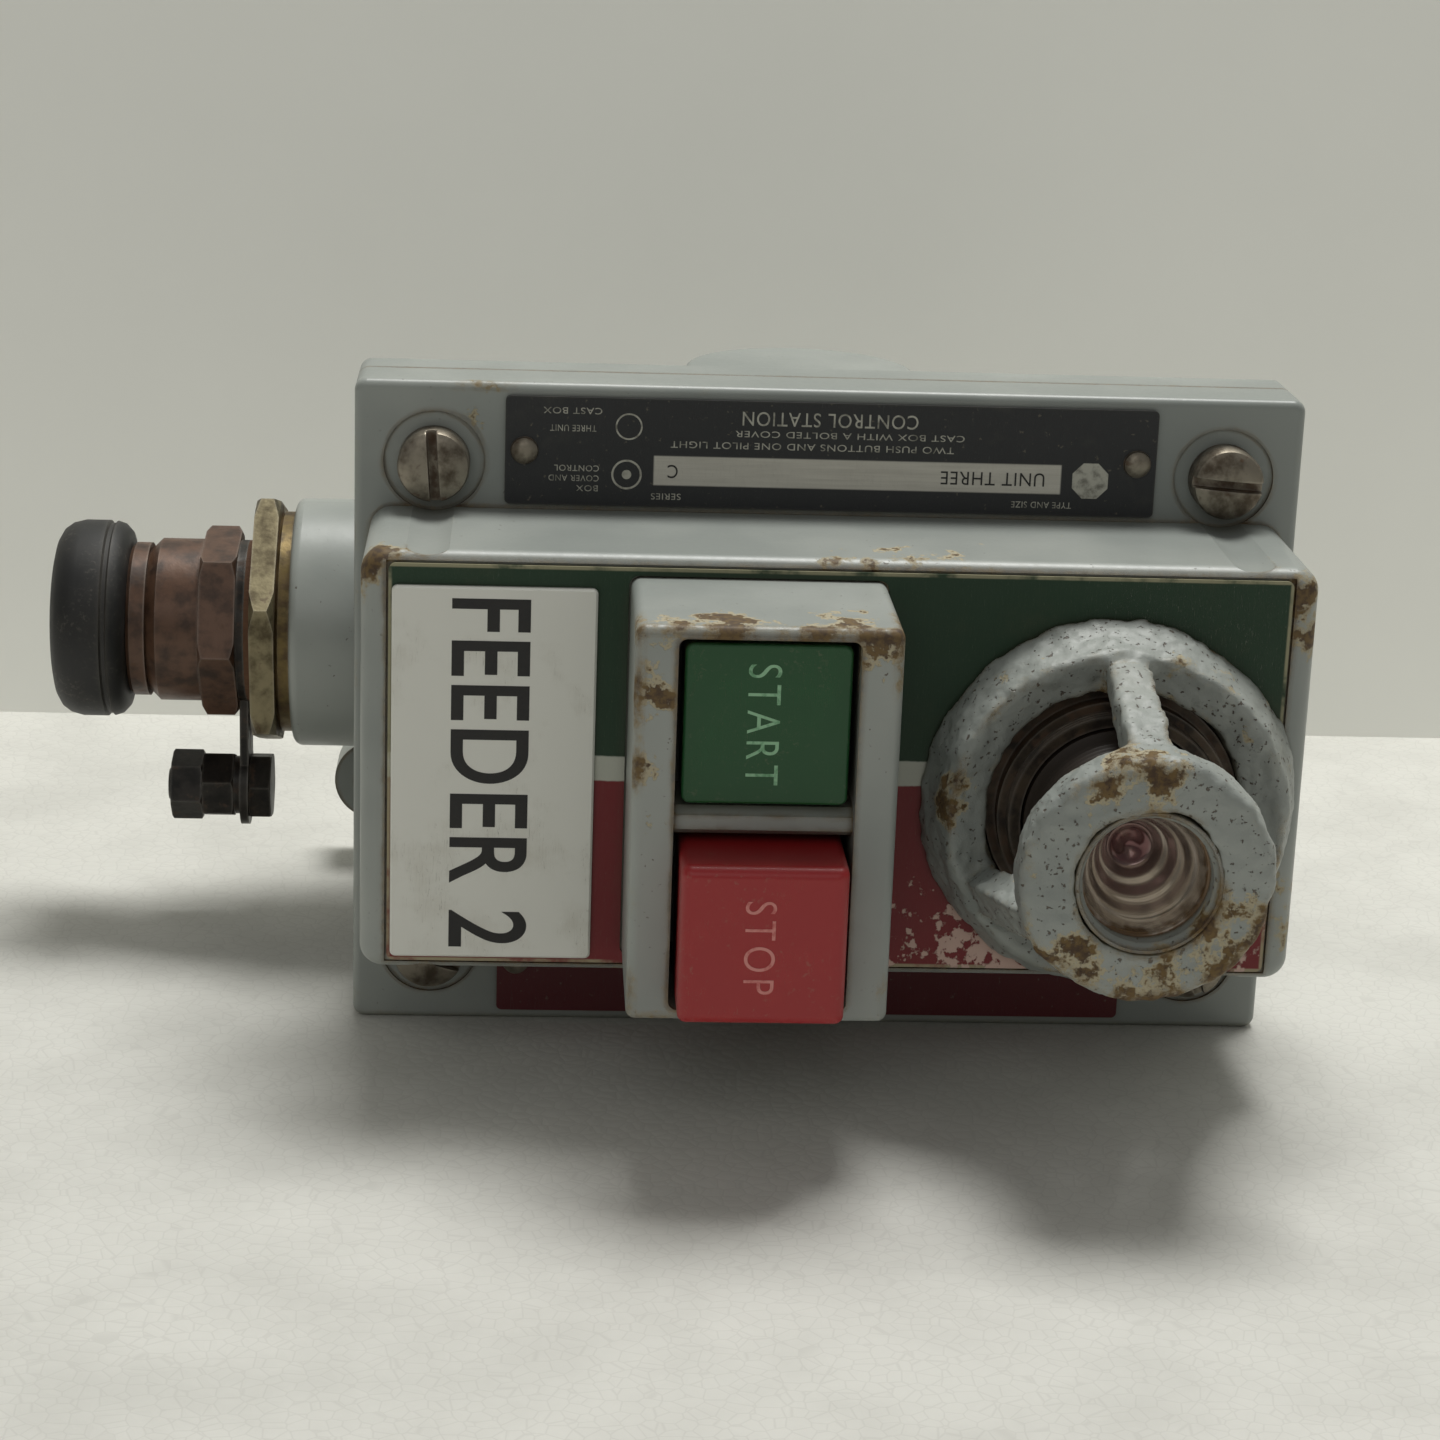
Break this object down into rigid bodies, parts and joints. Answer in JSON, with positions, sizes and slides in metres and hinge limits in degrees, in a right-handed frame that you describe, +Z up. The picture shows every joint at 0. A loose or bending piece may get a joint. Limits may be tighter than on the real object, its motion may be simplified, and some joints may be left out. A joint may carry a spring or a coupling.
{
  "type": "push-button control station",
  "caption": "Cast control station with flush and proud push buttons, guarded pilot light, engraved plates and a plugged cable gland with an earth tag.",
  "frame": {"origin": "centre of the back face that bolts to a wall", "axes": "+Y points out of the back face, into the wall, so the cover and buttons face -Y; +X runs along the long side, away from the cable gland; +Z is up as the station stands on its long edge"},
  "size_m": [0.1987, 0.1465, 0.1],
  "materials": {
    "grey_paint": "worn blue-grey enamel on cast aluminium",
    "legend_enamel": "green over red enamel with a white stripe, scratched",
    "white_label": "engraved white laminate",
    "black_plate": "black anodised plate with a bare strip",
    "red_plate": "dark red printed plate",
    "worn_steel": "worn bare steel",
    "spring_steel": "bright wire",
    "green_button": "moulded green",
    "red_button": "moulded red",
    "lens_glass": "clear pressed glass",
    "lamp_glass": "clear bulb",
    "dark_metal": "blackened threaded metal",
    "contact_brass": "bright brass",
    "hub_brass": "tarnished brass",
    "nickel_plate": "nickel-plated brass, yellowed",
    "brown_metal": "brown patinated brass",
    "zinc_steel": "blackened steel",
    "fibre": "red-brown vulcanised fibre",
    "black_rubber": "dusty black",
    "black_mould": "phenolic moulding"
  },
  "bodies": {
    "enclosure": {"back_box": "grey_paint", "bezel_screws": "worn_steel", "block_screws": "worn_steel", "button_bezel": "grey_paint", "cover": "grey_paint", "cover_screws": "worn_steel", "earth_tag": "zinc_steel", "fibre_washer": "fibre", "gland_adapter": "nickel_plate", "gland_body": "brown_metal", "gland_ring": "brown_metal", "gland_seal": "black_rubber", "ground_screw": "worn_steel", "hub_collar": "hub_brass", "lamp_socket": "black_mould", "legend_plate": "legend_enamel", "lens_clamp_ring": "contact_brass", "lens_gasket": "black_rubber", "lens_ring": "grey_paint", "lower_nameplate": "red_plate", "name_label": "white_label", "pilot_guard": "grey_paint", "pilot_holder": "dark_metal", "pilot_lamp": "lamp_glass", "pilot_lens": "lens_glass", "pilot_locknut": "dark_metal", "pilot_terminals": "contact_brass", "pilot_transformer": "black_mould", "plate_rivets": "worn_steel", "start_block_back": "black_mould", "start_block_housing": "black_mould", "start_bushing": "contact_brass", "start_contact_spring": "spring_steel", "start_fixed_contacts": "contact_brass", "start_return_spring": "spring_steel", "stop_block_back": "black_mould", "stop_block_housing": "black_mould", "stop_bushing": "contact_brass", "stop_contact_spring": "spring_steel", "stop_fixed_contacts": "contact_brass", "stop_return_spring": "spring_steel", "tag_bolt": "zinc_steel", "tag_nuts": "zinc_steel", "tag_washer": "zinc_steel", "terminal_screws": "worn_steel", "upper_nameplate": "black_plate"},
    "start_push": {"start_button": "green_button", "start_plunger": "worn_steel", "start_clip": "spring_steel"},
    "stop_push": {"stop_button": "red_button", "stop_plunger": "worn_steel", "stop_clip": "spring_steel"},
    "start_contacts": {"start_carrier": "black_mould", "start_bridge": "contact_brass"},
    "stop_contacts": {"stop_carrier": "black_mould", "stop_bridge": "contact_brass"},
    "plug": {"blanking_plug": "black_rubber"}
  },
  "joints": [
    {"name": "start_press", "type": "slide", "parent": "enclosure", "child": "start_push", "axis": [0, 1, 0], "range_m": [0, 0.004], "stiffness_N_per_m": 400, "springref_m": -0.006, "deforming": ["start_return_spring"]},
    {"name": "stop_press", "type": "slide", "parent": "enclosure", "child": "stop_push", "axis": [0, 1, 0], "range_m": [0, 0.004], "stiffness_N_per_m": 400, "springref_m": -0.006, "deforming": ["stop_return_spring"]},
    {"name": "start_contact_move", "type": "slide", "parent": "enclosure", "child": "start_contacts", "axis": [0, 1, 0], "range_m": [0, 0.004], "deforming": ["start_contact_spring"]},
    {"name": "stop_contact_move", "type": "slide", "parent": "enclosure", "child": "stop_contacts", "axis": [0, 1, 0], "range_m": [0, 0.004], "deforming": ["stop_contact_spring"]},
    {"name": "plug_pull", "type": "slide", "parent": "enclosure", "child": "plug", "axis": [-1, 0, 0], "range_m": [0, 0.045]}
  ],
  "couplings": [
    {"joint": "start_contact_move", "follows": "start_press", "ratio": 1},
    {"joint": "stop_contact_move", "follows": "stop_press", "ratio": 1}
  ]
}
